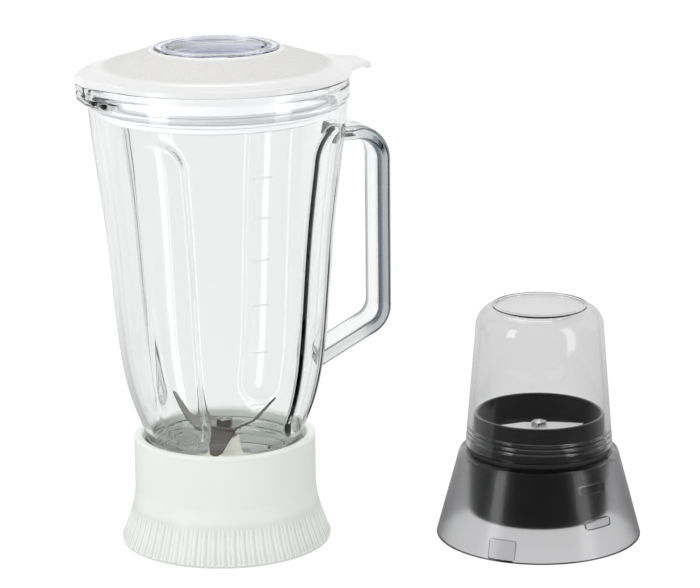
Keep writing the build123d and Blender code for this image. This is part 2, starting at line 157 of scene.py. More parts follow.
def scaled(colour, share):
    """A colour made darker or paler, at most white."""
    return tuple(min(1.0, c * share) for c in colour)


def show(tree, surface, volume=None):
    """Makes a surface, and a volume if there is one, what the finish shows."""
    inputs = {"Surface": surface}
    if volume:
        inputs["Volume"] = volume
    tree.node("ShaderNodeOutputMaterial", {}, inputs)


# ---- Finishes ----

# Where a finish changes on its piece, in millimetres: the start and the end of the change.
collar_groove_shade_z = (15, 23)
hub_boss_edge_r = (12.0, 17.0)
lid_seat_edge_r = (33.4, 34.2)
lid_dome_edge_r = (54.8, 58.6)
lid_dome_z = (240, 246)
lid_skirt_z = (230.4, 231.0)
grip_shade_from_x = (72, 80)
seal_shade_step_z = (226.2, 227.0)
collar_colour = (0.88, 0.905, 0.87)

def moulded_white(name, grooved):
    """Satin moulded plastic: faint flow marks in its colour and gloss and a very fine grain.

    A grooved piece is painted greyer low down: painted shade in its grooves.
    """
    material, tree = finish_of(name)
    place = tree.place()
    flow = tree.noise(place, 34.0, 2.0)
    speck = tree.noise(place, 900.0, 2.0)
    shade = tree.mix(flow, scaled(collar_colour, 0.975), scaled(collar_colour, 1.02))
    grain = tree.noise(place, 1300.0, 2.0)
    tint = tree.mix(speck.ramp(0.66, 0.8) * 0.12, shade, scaled(collar_colour, 0.9))
    if grooved:
        # Painted shade: the collar is greyer low down, between its ribs.
        dust_and_groove_shade = 1.0 - tree.axes(place)[2].past(collar_groove_shade_z)
        tint = tree.mix(dust_and_groove_shade, tint, scaled(collar_colour, 0.84))
    show(tree, principled(tree, {
        "Base Color": tint,
        "Roughness": flow * 0.08 + grain * 0.1 + 0.27,
        "IOR": 1.49,
        "Normal": tree.bump(grain, 0.012 * MM),
    }))
    return material


def hub_plastic():
    """Cream boss on a flange painted darker grey-green, as painted shade."""
    material, tree = finish_of("hub_cream")
    place = tree.place()
    x, y = tree.axes(place)[:2]
    boss = 1.0 - (x * x + y * y).math("SQRT").past(hub_boss_edge_r)
    flow = tree.noise(place, 40.0, 2.0)
    grain = tree.noise(place, 1100.0, 2.0)
    cream = tree.mix(flow, (0.92, 0.91, 0.80), (0.96, 0.95, 0.86))
    # Painted shade: the flange round the boss is darker grey-green.
    painted_shade_flange = tree.mix(flow, (0.32, 0.335, 0.32), (0.46, 0.47, 0.45))
    show(tree, principled(tree, {
        "Base Color": tree.mix(boss, painted_shade_flange, cream),
        "Roughness": grain * 0.12 + 0.3,
        "IOR": 1.49,
        "Normal": tree.bump(grain, 0.012 * MM),
    }))
    return material


def lid_plastic():
    """White lid: a stippled dome between the cap's seat and the rim, which is smooth and glossy.

    Its skirt, which is seen through the jug's thick rim, is painted greyer as painted shade.
    """
    material, tree = finish_of("lid_stippled_white")
    place = tree.place()
    x, y, z = tree.axes(place)
    radius = (x * x + y * y).math("SQRT")
    dome = radius.past(lid_seat_edge_r) * (1.0 - radius.past(lid_dome_edge_r)) * z.past(lid_dome_z)
    pattern = {"Vector": place, "Scale": 760.0}
    cells = tree.add("ShaderNodeTexVoronoi", {}, pattern, output="Distance")
    fine = tree.noise(place, 1500.0, 2.0)
    stipple = (1.0 - cells.ramp(0.05, 0.75)) * 0.8 + fine * 0.35
    flow = tree.noise(place, 26.0, 2.0)
    smooth = tree.mix(flow, (0.85, 0.85, 0.855), (0.88, 0.88, 0.885))
    matt = tree.mix(stipple.clamped(), (0.765, 0.76, 0.75), (0.84, 0.835, 0.825))
    # Painted shade: the skirt is greyer than the rest of the white lid.
    skirt = 1.0 - z.past(lid_skirt_z)
    show(tree, principled(tree, {
        "Base Color": tree.mix(skirt, tree.mix(dome, smooth, matt), (0.62, 0.63, 0.65)),
        "Roughness": dome * 0.42 + stipple * dome * 0.12 + flow * 0.05 + 0.16,
        "IOR": 1.5,
        "Normal": tree.bump(stipple * dome, 0.12 * MM),
    }))
    return material


def clear_moulding(name, face, edge, edge_from, depth_tint, density, ior,
                   roughness=0.02, scuff=0.0, grip=None):
    """Clear polished plastic: face where it is seen flat on and edge where it is seen edge on; the
    darker edge colour is painted shade.

    Its depth takes light by depth_tint and density. Scuffs make it rougher in places. The narrow
    sides of a grip are painted in the grip's darker colour, as painted shade.
    """
    material, tree = finish_of(name)
    place = tree.place()
    facing = tree.add("ShaderNodeLayerWeight", {}, {"Blend": 0.5}, output="Facing")
    wave = tree.noise(place, 22.0, 1.0)
    rub = tree.noise(place, 420.0, 3.0)
    # Painted shade: the edge colour darkens the plastic where it is seen edge on.
    colour = tree.mix(facing.ramp(edge_from, 1.0), face, edge)
    # Painted shade: the grip's narrow sides take its darker colour.
    if grip:
        turned = tree.axes(tree.add("ShaderNodeTexCoord", output="Normal"))[1].math("ABSOLUTE")
        side = turned.ramp(0.3, 0.6) * (1.0 - turned.ramp(0.93, 0.995) * 0.55)
        colour = tree.mix(side * tree.axes(place)[0].past(grip_shade_from_x), colour, grip)
    surface = principled(tree, {
        "Base Color": colour,
        "Roughness": rub.ramp(0.5, 0.8) * scuff + roughness,
        "IOR": ior,
        "Transmission Weight": 1.0,
        "Normal": tree.bump(wave, 0.35 * MM, 0.35),
    })
    shadow = tree.add("ShaderNodeLightPath", output="Is Shadow Ray")
    inside = {"Color": depth_tint, "Density": density}
    volume = tree.add("ShaderNodeVolumeAbsorption", {}, inside, output="Volume")
    show(tree, blended(tree, shadow, surface, see_through(tree, face)), volume)
    return material


def mark_painted_highlight():
    """The moulded marks: the jug's clear plastic with a milky white face, which is painted
    highlight.
    """
    material, tree = finish_of("mark_painted_highlight")
    grain = tree.noise(tree.place(), 2400.0, 2.0)
    # Painted highlight: a white face where the raised bars catch the light.
    painted_highlight = principled(tree, {
        "Base Color": tree.mix(grain, (0.95, 0.955, 0.955), (0.99, 0.99, 0.99)),
        "Roughness": grain * 0.2 + 0.35,
        "IOR": 1.45,
        "Subsurface Weight": 0.2,
        "Subsurface Radius": (0.001, 0.001, 0.001),
        "Normal": tree.bump(grain, 0.02 * MM),
    })
    painted_highlight_share = 0.85
    show(tree, blended(tree, painted_highlight_share, see_through(tree, (1.0, 1.0, 1.0)), painted_highlight))
    return material


def brushed_steel(name, colour, roughness, brush_scale=260.0):
    """Steel with fine brush lines, which run at an angle to the X axis."""
    material, tree = finish_of(name)
    place = tree.place()
    x, y, z = tree.axes(place)
    lengthwise = (x * 0.8 + y * 0.6) * 0.08
    across = y * 0.8 - x * 0.6
    lines = tree.add("ShaderNodeCombineXYZ", {}, {0: lengthwise, 1: across, 2: z})
    brush = tree.noise(lines, brush_scale, 4.0, 0.6)
    cloud = tree.noise(place, 90.0, 3.0)
    show(tree, principled(tree, {
        "Base Color": tree.mix(brush, scaled(colour, 0.82), scaled(colour, 1.12)),
        "Metallic": 1.0,
        "Roughness": brush * 0.18 + cloud * 0.08 + (roughness - 0.12),
        "Normal": tree.bump(brush, 0.02 * MM),
    }))
    return material


def bearing_bronze():
    """Sintered bronze with dark pores."""
    material, tree = finish_of("bearing_bronze")
    place = tree.place()
    pores = tree.noise(place, 1400.0, 3.0)
    cloud = tree.noise(place, 160.0, 3.0)
    colour = tree.mix(cloud, (0.42, 0.20, 0.09), (0.58, 0.30, 0.14))
    show(tree, principled(tree, {
        "Base Color": tree.mix(pores.ramp(0.62, 0.75) * 0.5, colour, (0.16, 0.08, 0.04)),
        "Metallic": 1.0,
        "Roughness": pores * 0.2 + 0.28,
        "Normal": tree.bump(pores, 0.02 * MM),
    }))
    return material


def gloss_black():
    """Black moulding, satin on its sides and polished on its upward edges."""
    material, tree = finish_of("gloss_black_moulding")
    place = tree.place()
    upward = tree.axes(tree.add("ShaderNodeTexCoord", output="Normal"))[2].ramp(0.5, 0.9)
    wave = tree.noise(place, 30.0, 1.0)
    dust = tree.noise(place, 1100.0, 2.0)
    black = (0.0015, 0.0015, 0.0017)
    dust_and_groove_shade = (0.007, 0.0065, 0.006)
    show(tree, principled(tree, {
        "Base Color": tree.mix(dust.ramp(0.6, 0.85) * 0.6, black, dust_and_groove_shade),
        "Roughness": wave * 0.08 + dust.ramp(0.55, 0.8) * 0.12 + 0.3,
        "IOR": 1.38,
        "Specular IOR Level": 0.25,
        "Coat Weight": upward,
        "Coat Roughness": 0.06,
        "Coat IOR": 1.7,
        "Normal": tree.bump(wave, 0.5 * MM, 0.3),
    }))
    return material


def soft_rubber(name, darker, lighter, painted_shade_above=None):
    """Moulded rubber with a faint bloom and a fine grain; painted shade above a step, if one is
    given.
    """
    material, tree = finish_of(name)
    place = tree.place()
    bloom = tree.noise(place, 60.0, 3.0)
    grain = tree.noise(place, 900.0, 2.0)
    colour = tree.mix(bloom, darker, lighter)
    if painted_shade_above:
        # Painted shade: greyer above the step, paler below it.
        below_painted_shade = 1.0 - tree.axes(place)[2].past(painted_shade_above)
        colour = tree.mix(below_painted_shade, colour, (0.80, 0.805, 0.81))
    show(tree, principled(tree, {
        "Base Color": colour,
        "Roughness": grain * 0.15 + 0.42,
        "IOR": 1.42,
        "Normal": tree.bump(grain, 0.03 * MM),
    }))
    return material


def coupling_plastic():
    """Matt black plastic of the drive couplings."""
    material, tree = finish_of("matt_black_coupling")
    place = tree.place()
    grain = tree.noise(place, 700.0, 3.0)
    show(tree, principled(tree, {
        "Base Color": tree.mix(grain, (0.02, 0.02, 0.022), (0.045, 0.045, 0.048)),
        "Roughness": grain * 0.2 + 0.4,
        "Normal": tree.bump(grain, 0.04 * MM),
    }))
    return material


collar_white = moulded_white("collar_white", grooved=False)
collar_grooved = moulded_white("collar_grooved", grooved=True)
# Painted shade: the upper blade's steel is darker than blade_steel, and the lower blade's darker
# still.
upper_steel_painted_shade = brushed_steel("upper_blade_steel_painted_shade", (0.26, 0.255, 0.245), 0.22)
shadowed_steel = brushed_steel("shadowed_blade_steel", (0.05, 0.045, 0.04), 0.2)
mill_steel = brushed_steel("mill_blade_steel", (0.97, 0.965, 0.95), 0.5)
# The edge colour of each clear finish is painted shade.
clear_jug = clear_moulding(
    "clear_jug", face=(0.985, 0.99, 0.988), edge=(0.60, 0.65, 0.64), edge_from=0.76,
    # The grip colour is painted shade on the handle's narrow sides.
    depth_tint=(0.50, 0.56, 0.55), density=14.0, ior=1.53, grip=(0.15, 0.185, 0.215),
)
clear_cap = clear_moulding(
    "clear_violet_cap", face=(0.985, 0.985, 0.995), edge=(0.56, 0.62, 0.88), edge_from=0.7,
    depth_tint=(0.62, 0.66, 0.86), density=22.0, ior=1.53,
)
smoky_skirt = clear_moulding(
    "smoky_skirt", face=(0.73, 0.73, 0.74), edge=(0.22, 0.22, 0.24), edge_from=0.72,
    depth_tint=(0.26, 0.26, 0.27), density=150.0, ior=1.4, roughness=0.2, scuff=0.02,
)
clear_cup = clear_moulding(
    "clear_mill_cup", face=(0.965, 0.965, 0.967), edge=(0.40, 0.41, 0.44), edge_from=0.7,
    depth_tint=(0.42, 0.42, 0.43), density=90.0, ior=1.42,
)

# The finish of each slot of the solids, and of the pieces that differ from their slot.
slot_finishes = {
    "white_plastic": collar_white,
    "cream_plastic": hub_plastic(),
    "lid_plastic": lid_plastic(),
    "clear_plastic": clear_jug,
    "tinted_clear_plastic": clear_cap,
    "smoky_plastic": smoky_skirt,
    "black_plastic": gloss_black(),
    "seal_rubber": soft_rubber(
        "grey_silicone", (0.56, 0.57, 0.59), (0.64, 0.65, 0.67), painted_shade_above=seal_shade_step_z
    ),
    "black_rubber": soft_rubber("black_silicone", (0.018, 0.018, 0.019), (0.03, 0.03, 0.031)),
    "blade_steel": brushed_steel("blade_steel", (0.56, 0.555, 0.54), 0.26),
    "shaft_steel": brushed_steel("shaft_steel", (0.52, 0.52, 0.52), 0.24, brush_scale=300.0),
    "bronze": bearing_bronze(),
    "coupling_plastic": coupling_plastic(),
}
piece_finishes = {
    "mill_cup": clear_cup,
    "mill_blade": mill_steel,
    "base_collar": collar_grooved,
    "lower_blade": shadowed_steel,
    "upper_blade": upper_steel_painted_shade,
    "jug_blade_nut": upper_steel_painted_shade,
}
for name, piece in nodes.items():
    for material_slot in piece.material_slots:
        slot_finish = slot_finishes[material_slot.material.name]
        material_slot.material = piece_finishes.get(name, slot_finish)


# ---- Mesh helpers ----

def mesh_piece(name, points, faces, finish):
    """A new piece from points in millimetres, smooth all over."""
    data = bpy.data.meshes.new(name)
    data.from_pydata([tuple(c * MM for c in point) for point in points], [], faces)
    data.materials.append(finish)
    for face in data.polygons:
        face.use_smooth = True
    piece = bpy.data.objects.new(name, data)
    bpy.context.scene.collection.objects.link(piece)
    return piece


def woven(rows, columns, closed):
    """Faces between the rows of a grid that is closed across its columns.

    It is closed from its last row to its first as well, if closed.
    """
    faces = []
    for row in range(rows if closed else rows - 1):
        above = (row + 1) % rows
        for column in range(columns):
            beside = (column + 1) % columns
            faces.append((
                row * columns + column,
                row * columns + beside,
                above * columns + beside,
                above * columns + column,
            ))
    return faces


def settled(piece, sharp_angle):
    """The piece with its modifiers applied, and the edges sharper than an angle kept crisp."""
    depsgraph = bpy.context.evaluated_depsgraph_get()
    data = bpy.data.meshes.new_from_object(piece.evaluated_get(depsgraph))
    piece.modifiers.clear()
    piece.data = data
    for face in data.polygons:
        face.use_smooth = True
    data.set_sharp_from_angle(angle=sharp_angle)
    return piece


def outward(piece):
    """Turns a closed piece's faces outward."""
    work = bmesh.new()
    work.from_mesh(piece.data)
    bmesh.ops.recalc_face_normals(work, faces=work.faces)
    work.to_mesh(piece.data)
    work.free()


def smooth_lower(first, second, blend):
    """The lower of two sizes, with a soft passage between them."""
    gap = max(blend - abs(first - second), 0.0) / blend
    return min(first, second) - gap * gap * blend / 4


def natural_spline(stations):
    """A smooth line through (place, value) stations."""
    places = [station[0] for station in stations]
    values = [station[1] for station in stations]
    count = len(stations)
    gaps = [places[i + 1] - places[i] for i in range(count - 1)]
    bend = [0.0] * count
    held = [0.0] * count
    for i in range(1, count - 1):
        slope_after = (values[i + 1] - values[i]) / gaps[i]
        slope_before = (values[i] - values[i - 1]) / gaps[i - 1]
        span = 2 * (gaps[i - 1] + gaps[i]) - gaps[i - 1] * held[i - 1]
        held[i] = gaps[i] / span
        bend[i] = (6 * (slope_after - slope_before) - gaps[i - 1] * bend[i - 1]) / span
    for i in range(count - 2, 0, -1):
        bend[i] -= held[i] * bend[i + 1]

    def value_at(place):
        i = max(index for index in range(count - 1) if index == 0 or places[index] <= place)
        width = gaps[i]
        after = (place - places[i]) / width
        before = 1 - after
        curve = (before**3 - before) * bend[i] + (after**3 - after) * bend[i + 1]
        return before * values[i] + after * values[i + 1] + curve * width * width / 6

    return value_at


# ---- Jug: a moulded shell with soft flutes, a pointed rim and its strap handle ----
# Lengths are in millimetres and angles in radians. The spout points to -X, the handle to +X.

jug_wall = 3.0
jug_foot_z = 38.5
collar_top_z = 55.6
neck_r = 39.7
rim_z = 240.5
rim_low_z = 230.7
rim_neck_z = 228.4
rim_neck_r = 64.8
rim_neck_round = 1.3
rim_r = 65.9
spout_reach = 71.0
spout_half_width = 7.6
spout_touch = 31.7
spout_corner = 1.6
wall_stations = (
    (collar_top_z, neck_r), (74.8, 47.0), (105.0, 52.7), (169.3, 58.2), (219.4, 64.1),
    (rim_neck_z, rim_neck_r),
)
wall_line = natural_spline(wall_stations)
flute_rod_r = 16.5
flute_press = 4.3
flute_low_z = 69.0
flute_high_z = 202.1
flute_softness = 3.4
inner_press = 4.7
inner_softness = 4.6
thread_low_z = 41.2
thread_high_z = 54.0
thread_pitch = 4.4
thread_height = 1.2
thread_fade = 2.0
thread_roundness = 0.7
neck_step = 0.4
wall_step = 1.8
jug_columns = 288
edge_round = 0.6
edge_turns = [math.pi / 6 * step for step in range(4)]
groove_z = 236.9
groove_rows = ((-0.9, 0.0), (-0.45, 0.25), (0.0, 0.5), (0.45, 0.25), (0.9, 0.0))
# How far the spout's point has swelled out at each height, outside and inside.
outer_swell = (
    (rim_low_z, 0.0), (230.95, 0.5), (231.3, 0.72), (232.0, 0.89), (232.9, 0.97), (234.2, 1.0),
)
inner_swell = (
    (237.2, 1.0), (234.6, 1.0), (234.1, 0.94), (233.8, 0.75), (233.6, 0.3), (233.2, 0.0),
    (rim_low_z, 0.0),
)


def jug_side(height):
    """Radius of the jug's plain outside at a height."""
    return neck_r if height <= collar_top_z else wall_line(height)


def threaded(angle, height):
    """Radius of the neck, with the screw thread that the collar takes."""
    turn = (height - thread_low_z) / thread_pitch - angle / (2 * math.pi)
    ridge = max(math.cos(2 * math.pi * turn), 0.0) ** thread_roundness
    fade = min(height - thread_low_z, thread_high_z - height) / thread_fade
    return neck_r + thread_height * ridge * min(max(fade, 0.0), 1.0)


def fluted(angle, height, inset, press, softness):
    """Radius of the wall, moved inward by inset, with four soft flutes pressed into it."""
    side = jug_side(height) - inset
    rod_z = min(max(height, flute_low_z), flute_high_z)
    centre = jug_side(rod_z) + flute_rod_r - press
    beyond = height - rod_z
    rod_square = (flute_rod_r + inset) ** 2 - beyond * beyond
    turn = (angle % (math.pi / 2)) - math.pi / 4
    across = centre * math.sin(turn)
    if rod_square <= across * across:
        return side
    rod_face = centre * math.cos(turn) - math.sqrt(rod_square - across * across)
    return smooth_lower(side, rod_face, softness)


def rim_point(angle):
    """How far the rim reaches past its circle at an angle: the spout's soft point."""
    turn = abs((angle % (2 * math.pi)) - math.pi)
    touch_turn = math.asin(spout_touch / rim_r)
    if turn >= touch_turn:
        return 0.0
    touch_x = math.sqrt(rim_r**2 - spout_touch**2)
    run_x = spout_reach - touch_x
    run_y = spout_half_width - spout_touch
    facing = math.cos(turn) * run_y - math.sin(turn) * run_x
    side = (touch_x * run_y - spout_touch * run_x) / facing
    return max(smooth_lower(side, spout_reach / math.cos(turn), spout_corner) - rim_r, 0.0)


def even_steps(low, high, step):
    """Heights from low up to, but not at, high, about a step apart."""
    count = round((high - low) / step)
    return [low + (high - low) * i / count for i in range(count)]


def jug_rows():
    """Height and radius rule of each ring of the shell: up the outside and down the inside."""
    rows = [
        (jug_foot_z, lambda a: neck_r - edge_round),
        (jug_foot_z + edge_round, lambda a: neck_r),
    ]
    for z in even_steps(jug_foot_z, collar_top_z, neck_step)[2:]:
        rows.append((z, lambda a, z=z: threaded(a, z)))
    wall_heights = even_steps(collar_top_z, rim_neck_z, wall_step)
    for z in wall_heights:
        rows.append((z, lambda a, z=z: fluted(a, z, 0.0, flute_press, flute_softness)))
    rows.append((rim_neck_z, lambda a: rim_neck_r))
    rows.append((rim_neck_z + rim_neck_round, lambda a: (rim_neck_r + rim_r) / 2))
    for z, share in outer_swell:
        rows.append((z, lambda a, share=share: rim_r + rim_point(a) * share))
    for rise, depth in groove_rows:
        rows.append((groove_z + rise, lambda a, depth=depth: rim_r + rim_point(a) - depth))
    inner_r = rim_neck_r - jug_wall
    inner_gain = (spout_reach - jug_wall - inner_r) / (spout_reach - rim_r)
    for turn in edge_turns:
        drop = edge_round * (1 - math.sin(turn))
        pull = edge_round * (1 - math.cos(turn))
        rows.append((rim_z - drop, lambda a, pull=pull: rim_r + rim_point(a) - pull))
    for turn in reversed(edge_turns):
        drop = edge_round * (1 - math.sin(turn))
        pull = edge_round * (1 - math.cos(turn))
        rows.append((rim_z - drop, lambda a, pull=pull: inner_r + rim_point(a) * inner_gain + pull))
    for z, share in inner_swell:
        rows.append((z, lambda a, share=share: inner_r + rim_point(a) * inner_gain * share))
    rows.append((rim_neck_z, lambda a: inner_r))
    for z in reversed(wall_heights):
        rows.append((z, lambda a, z=z: fluted(a, z, jug_wall, inner_press, inner_softness)))
    rows.append((jug_foot_z, lambda a: neck_r - jug_wall))
    return rows


def jug_shell(finish):
    """The jug without its handle, as one closed mesh."""
    rows = jug_rows()
    points = []
    for height, radius_at in rows:
        for column in range(jug_columns):
            angle = 2 * math.pi * column / jug_columns
            radius = radius_at(angle)
            points.append((radius * math.cos(angle), radius * math.sin(angle), height))
    return mesh_piece("jug_shell", points, woven(len(rows), jug_columns, True), finish)


strap_width = 22.7
strap_thickness = 7.0
strap_edge = 2.6
grip_x = 84.65
arm_z = 207.4
grip_low_z = 108.6
arm_foot_z = 90.5
top_bend = 14.4
foot_bend = 12.4
bend_step = math.radians(6)
strap_corner_steps = 5
crisp_angle = math.radians(38)


def bent_line(corners, bends, step):
    """Points along straight runs joined by arcs, in the XZ plane."""
    points = [corners[0]]
    for before, corner, after, bend in zip(corners, corners[1:], corners[2:], bends):
        into = (Vector(corner) - Vector(before)).normalized()
        out = (Vector(after) - Vector(corner)).normalized()
        turn = into.angle(out)
        reach = bend * math.tan(turn / 2)
        start = Vector(corner) - into * reach
        inward = (out - into * into.dot(out)).normalized()
        centre = start + inward * bend
        count = max(2, math.ceil(turn / step))
        for i in range(count + 1):
            angle = turn * i / count
            spot = centre - inward * bend * math.cos(angle) + into * bend * math.sin(angle)
            points.append(tuple(spot))
    points.append(corners[-1])
    return points


def rounded_section(width, thickness, edge, corner_steps):
    """Points round a strap's section, as (across, out)."""
    section = []
    for quarter in range(4):
        centre_a = (width / 2 - edge) * (1 if quarter in (0, 3) else -1)
        centre_b = (thickness / 2 - edge) * (1 if quarter in (0, 1) else -1)
        for i in range(corner_steps + 1):
            angle = math.pi / 2 * (quarter + i / corner_steps)
            section.append((centre_a + edge * math.cos(angle), centre_b + edge * math.sin(angle)))
    return section


def strap_handle(finish):
    """A strap that leaves the wall near the rim, turns down and runs back to it at a slant."""
    embed = jug_wall / 2
    corners = [
        (wall_line(arm_z) - embed, arm_z), (grip_x, arm_z), (grip_x, grip_low_z),
        (wall_line(arm_foot_z) - embed, arm_foot_z),
    ]
    line = bent_line(corners, (top_bend, foot_bend), bend_step)
    section = rounded_section(strap_width, strap_thickness, strap_edge, strap_corner_steps)
    points = []
    for i, (x, z) in enumerate(line):
        before = Vector(line[max(i - 1, 0)])
        after = Vector(line[min(i + 1, len(line) - 1)])
        along_line = (after - before).normalized()
        out_x, out_z = -along_line.y, along_line.x
        points += [(x + out_x * out, across, z + out_z * out) for across, out in section]
    faces = woven(len(line), len(section), False)
    faces.append(tuple(reversed(range(len(section)))))
    last = (len(line) - 1) * len(section)
    faces.append(tuple(range(last, last + len(section))))
    handle = mesh_piece("strap_handle", points, faces, finish)
    outward(handle)
    return handle


jug = jug_shell(clear_jug)
handle = strap_handle(clear_jug)
join = jug.modifiers.new("handle_joint", "BOOLEAN")
join.operation = "UNION"
join.solver = "EXACT"
join.object = handle
settled(jug, crisp_angle)
bpy.data.objects.remove(handle)
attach(jug, "jug")
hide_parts("jug")

# ---- Measuring marks: short raised bars on the side that faces -Y ----

mark_levels = (83.0, 111.0, 135.5, 158.5, 180.0, 200.5)
mark_bearing = math.radians(-87.7)
mark_arc = math.radians(8.6)
mark_height = 1.0
mark_relief = 0.32
mark_steps = 8
# A mark's section as shares of its relief outward and of its height upward.
mark_section = ((-0.3, -0.5), (0.7, -0.5), (1.0, -0.4), (1.0, 0.4), (0.7, 0.5), (-0.3, 0.5))


def measuring_marks(finish):
    """Each mark is a bar that follows the wall, with its foot sunk in it."""
    points = []
    faces = []
    sides = len(mark_section)
    for level in mark_levels:
        first = len(points)
        for step in range(mark_steps + 1):
            angle = mark_bearing + mark_arc * (step / mark_steps - 0.5)
            for out, rise in mark_section:
                radius = jug_side(level) + out * mark_relief
                height = level + rise * mark_height
                points.append((radius * math.cos(angle), radius * math.sin(angle), height))
        for step in range(mark_steps):
            for corner in range(sides):
                near = first + step * sides
                far = near + sides
                beside = (corner + 1) % sides
                faces.append((near + corner, near + beside, far + beside, far + corner))
        last = first + mark_steps * sides
        faces.append(tuple(first + corner for corner in reversed(range(sides))))
        faces.append(tuple(last + corner for corner in range(sides)))
    piece = mesh_piece("measuring_marks", points, faces, finish)
    outward(piece)
    return piece


marks = measuring_marks(mark_painted_highlight())
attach(marks, "jug")


# ---- Grown pieces: Geometry Nodes trees with named sizes ----

grown_crisp_angle = math.radians(40)


class Grower(Tree):
    """A Geometry Nodes tree whose sizes are named inputs of its modifier."""

    def __init__(self, name):
        self.group = bpy.data.node_groups.new(name, "GeometryNodeTree")
        super().__init__(self.group)
        self.new_socket("Geometry", "OUTPUT", "NodeSocketGeometry")
        self.values = {}

    def new_socket(self, name, side, kind):
        self.group.interface.new_socket(name, in_out=side, socket_type=kind)

    def size(self, name, value, kind="NodeSocketFloat"):
        """A named input, and the socket that carries it."""
        self.new_socket(name, "INPUT", kind)
        self.values[name] = value
        entry = self.nodes.new("NodeGroupInput")
        return Value(self, entry.outputs[name])

    def grow(self, name, shape, finish):
        """The tree's shape as a plain mesh piece with one finish."""
        realized = self.add("GeometryNodeRealizeInstances", {}, {"Geometry": shape})
        look = {"Geometry": realized, "Material": finish}
        dressed = self.add("GeometryNodeSetMaterial", {}, look)
        self.node("NodeGroupOutput", {}, {"Geometry": dressed})
        piece = mesh_piece(name, [(0, 0, 0)], [], finish)
        grower = piece.modifiers.new("grower", "NODES")
        grower.node_group = self.group
        for item in self.group.interface.items_tree:
            if item.in_out == "INPUT":
                grower[item.identifier] = self.values[item.name]
        return settled(piece, grown_crisp_angle)

    def vector(self, x, y, z):
        return self.add("ShaderNodeCombineXYZ", {}, {0: x, 1: y, 2: z})

    def circle(self, radius, corners):
        """A circle to use as a section."""
        inputs = {"Resolution": corners, "Radius": radius}
        return self.add("GeometryNodeCurvePrimitiveCircle", {"mode": "RADIUS"}, inputs)

    def swept(self, line, section, scale):
        """A section led along a line, with its size scaled on the way and its ends closed."""
        sized = self.add("GeometryNodeSetCurveRadius", {}, {"Curve": line, "Radius": scale})
        inputs = {"Curve": sized, "Profile Curve": section, "Fill Caps": True}
        return self.add("GeometryNodeCurveToMesh", {}, inputs)


def collar_ribs(finish):
    """Rounded grip ribs in close pairs round the collar's flare, which sink into it upward."""
    tree = Grower("collar_ribs")
    count = tree.size("Count", 128, "NodeSocketInt")
    foot_r = tree.size("Foot radius", 53.45 * MM)
    foot_z = tree.size("Foot height", 0.9 * MM)
    bend_r = tree.size("Bend radius", 47.4 * MM)
    bend_z = tree.size("Bend height", 15.0 * MM)
    top_r = tree.size("Top radius", 46.4 * MM)
    top_z = tree.size("Top height", 27.8 * MM)
    half_width = tree.size("Half width", 1.2 * MM)
    flatness = tree.size("Flatness", 0.62)
    foot_sink = tree.size("Foot sink", 0.24 * MM)
    top_sink = tree.size("Top sink", 0.6 * MM)
    pairing = tree.size("Pairing", 0.09)
    kept_share = tree.size("Kept share", 0.84)
    flare = tree.add("GeometryNodeCurveQuadraticBezier", {}, {
        "Resolution": 11,
        "Start": tree.vector(foot_r, 0.0, foot_z),
        "Middle": tree.vector(bend_r, 0.0, bend_z),
        "End": tree.vector(top_r, 0.0, top_z),
    })
    kept = {"Curve": flare, "Start": 0.0, "End": kept_share}
    line = tree.add("GeometryNodeTrimCurve", {"mode": "FACTOR"}, kept)
    along_rib = tree.add("GeometryNodeSplineParameter", output="Factor")
    sink = foot_sink + along_rib.ramp(0.35, 1.0) * top_sink
    inward_move = {"Geometry": line, "Offset": tree.vector(0.0 - sink, 0.0, 0.0)}
    sunk = tree.add("GeometryNodeSetPosition", {}, inward_move)
    flattened = {"Geometry": tree.circle(half_width, 10), "Scale": tree.vector(1.0, flatness, 1.0)}
    section = tree.add("GeometryNodeTransform", {}, flattened)
    spread = tree.axes(tree.add("GeometryNodeInputPosition"))[0] / foot_r
    rib = tree.swept(sunk, section, spread)
    spots = tree.add("GeometryNodeMeshLine", {}, {"Count": count, "Offset": (0.0, 0.0, 0.0)})
    index = tree.add("GeometryNodeInputIndex")
    paired = index + pairing - index.math("MODULO", 2.0) * pairing * 2.0
    turn = paired * (2 * math.pi) / count
    ribs = tree.add("GeometryNodeInstanceOnPoints", {}, {
        "Points": spots, "Instance": rib, "Rotation": tree.vector(0.0, 0.0, turn),
    })
    return tree.grow("collar_ribs", ribs, finish)


ribs = collar_ribs(collar_white)
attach(ribs, "base")


mill_distance = 161.1
mill_bearing = math.radians(-20.0)
mill_x = mill_distance * math.cos(mill_bearing)
mill_y = mill_distance * math.sin(mill_bearing)


def cup_thread(finish):
    """The screw thread inside the mill cup's foot."""
    tree = Grower("cup_thread")
    turns = tree.size("Turns", 3.0)
    foot_r = tree.size("Foot radius", 34.9 * MM)
    top_r = tree.size("Top radius", 34.2 * MM)
    foot_z = tree.size("Foot height", 50.2 * MM)
    rise = tree.size("Rise", 7.8 * MM)
    thread_r = tree.size("Thread radius", 0.62 * MM)
    end_share = tree.size("End share", 0.1)
    spiral = tree.add("GeometryNodeCurveSpiral", {}, {
        "Resolution": 64, "Rotations": turns, "Height": rise,
        "Start Radius": foot_r, "End Radius": top_r,
    })
    along_thread = tree.add("GeometryNodeSplineParameter", output="Factor")
    full = along_thread.ramp(0.0, 0.04) * (1.0 - along_thread.ramp(0.96, 1.0))
    thread = tree.swept(spiral, tree.circle(thread_r, 8), full * (1.0 - end_share) + end_share)
    placed = tree.add("GeometryNodeTransform", {}, {
        "Geometry": thread, "Translation": tree.vector(mill_x * MM, mill_y * MM, foot_z),
    })
    return tree.grow("cup_thread", placed, finish)


thread = cup_thread(clear_cup)
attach(thread, "mill_cup")


# ---- Camera ----

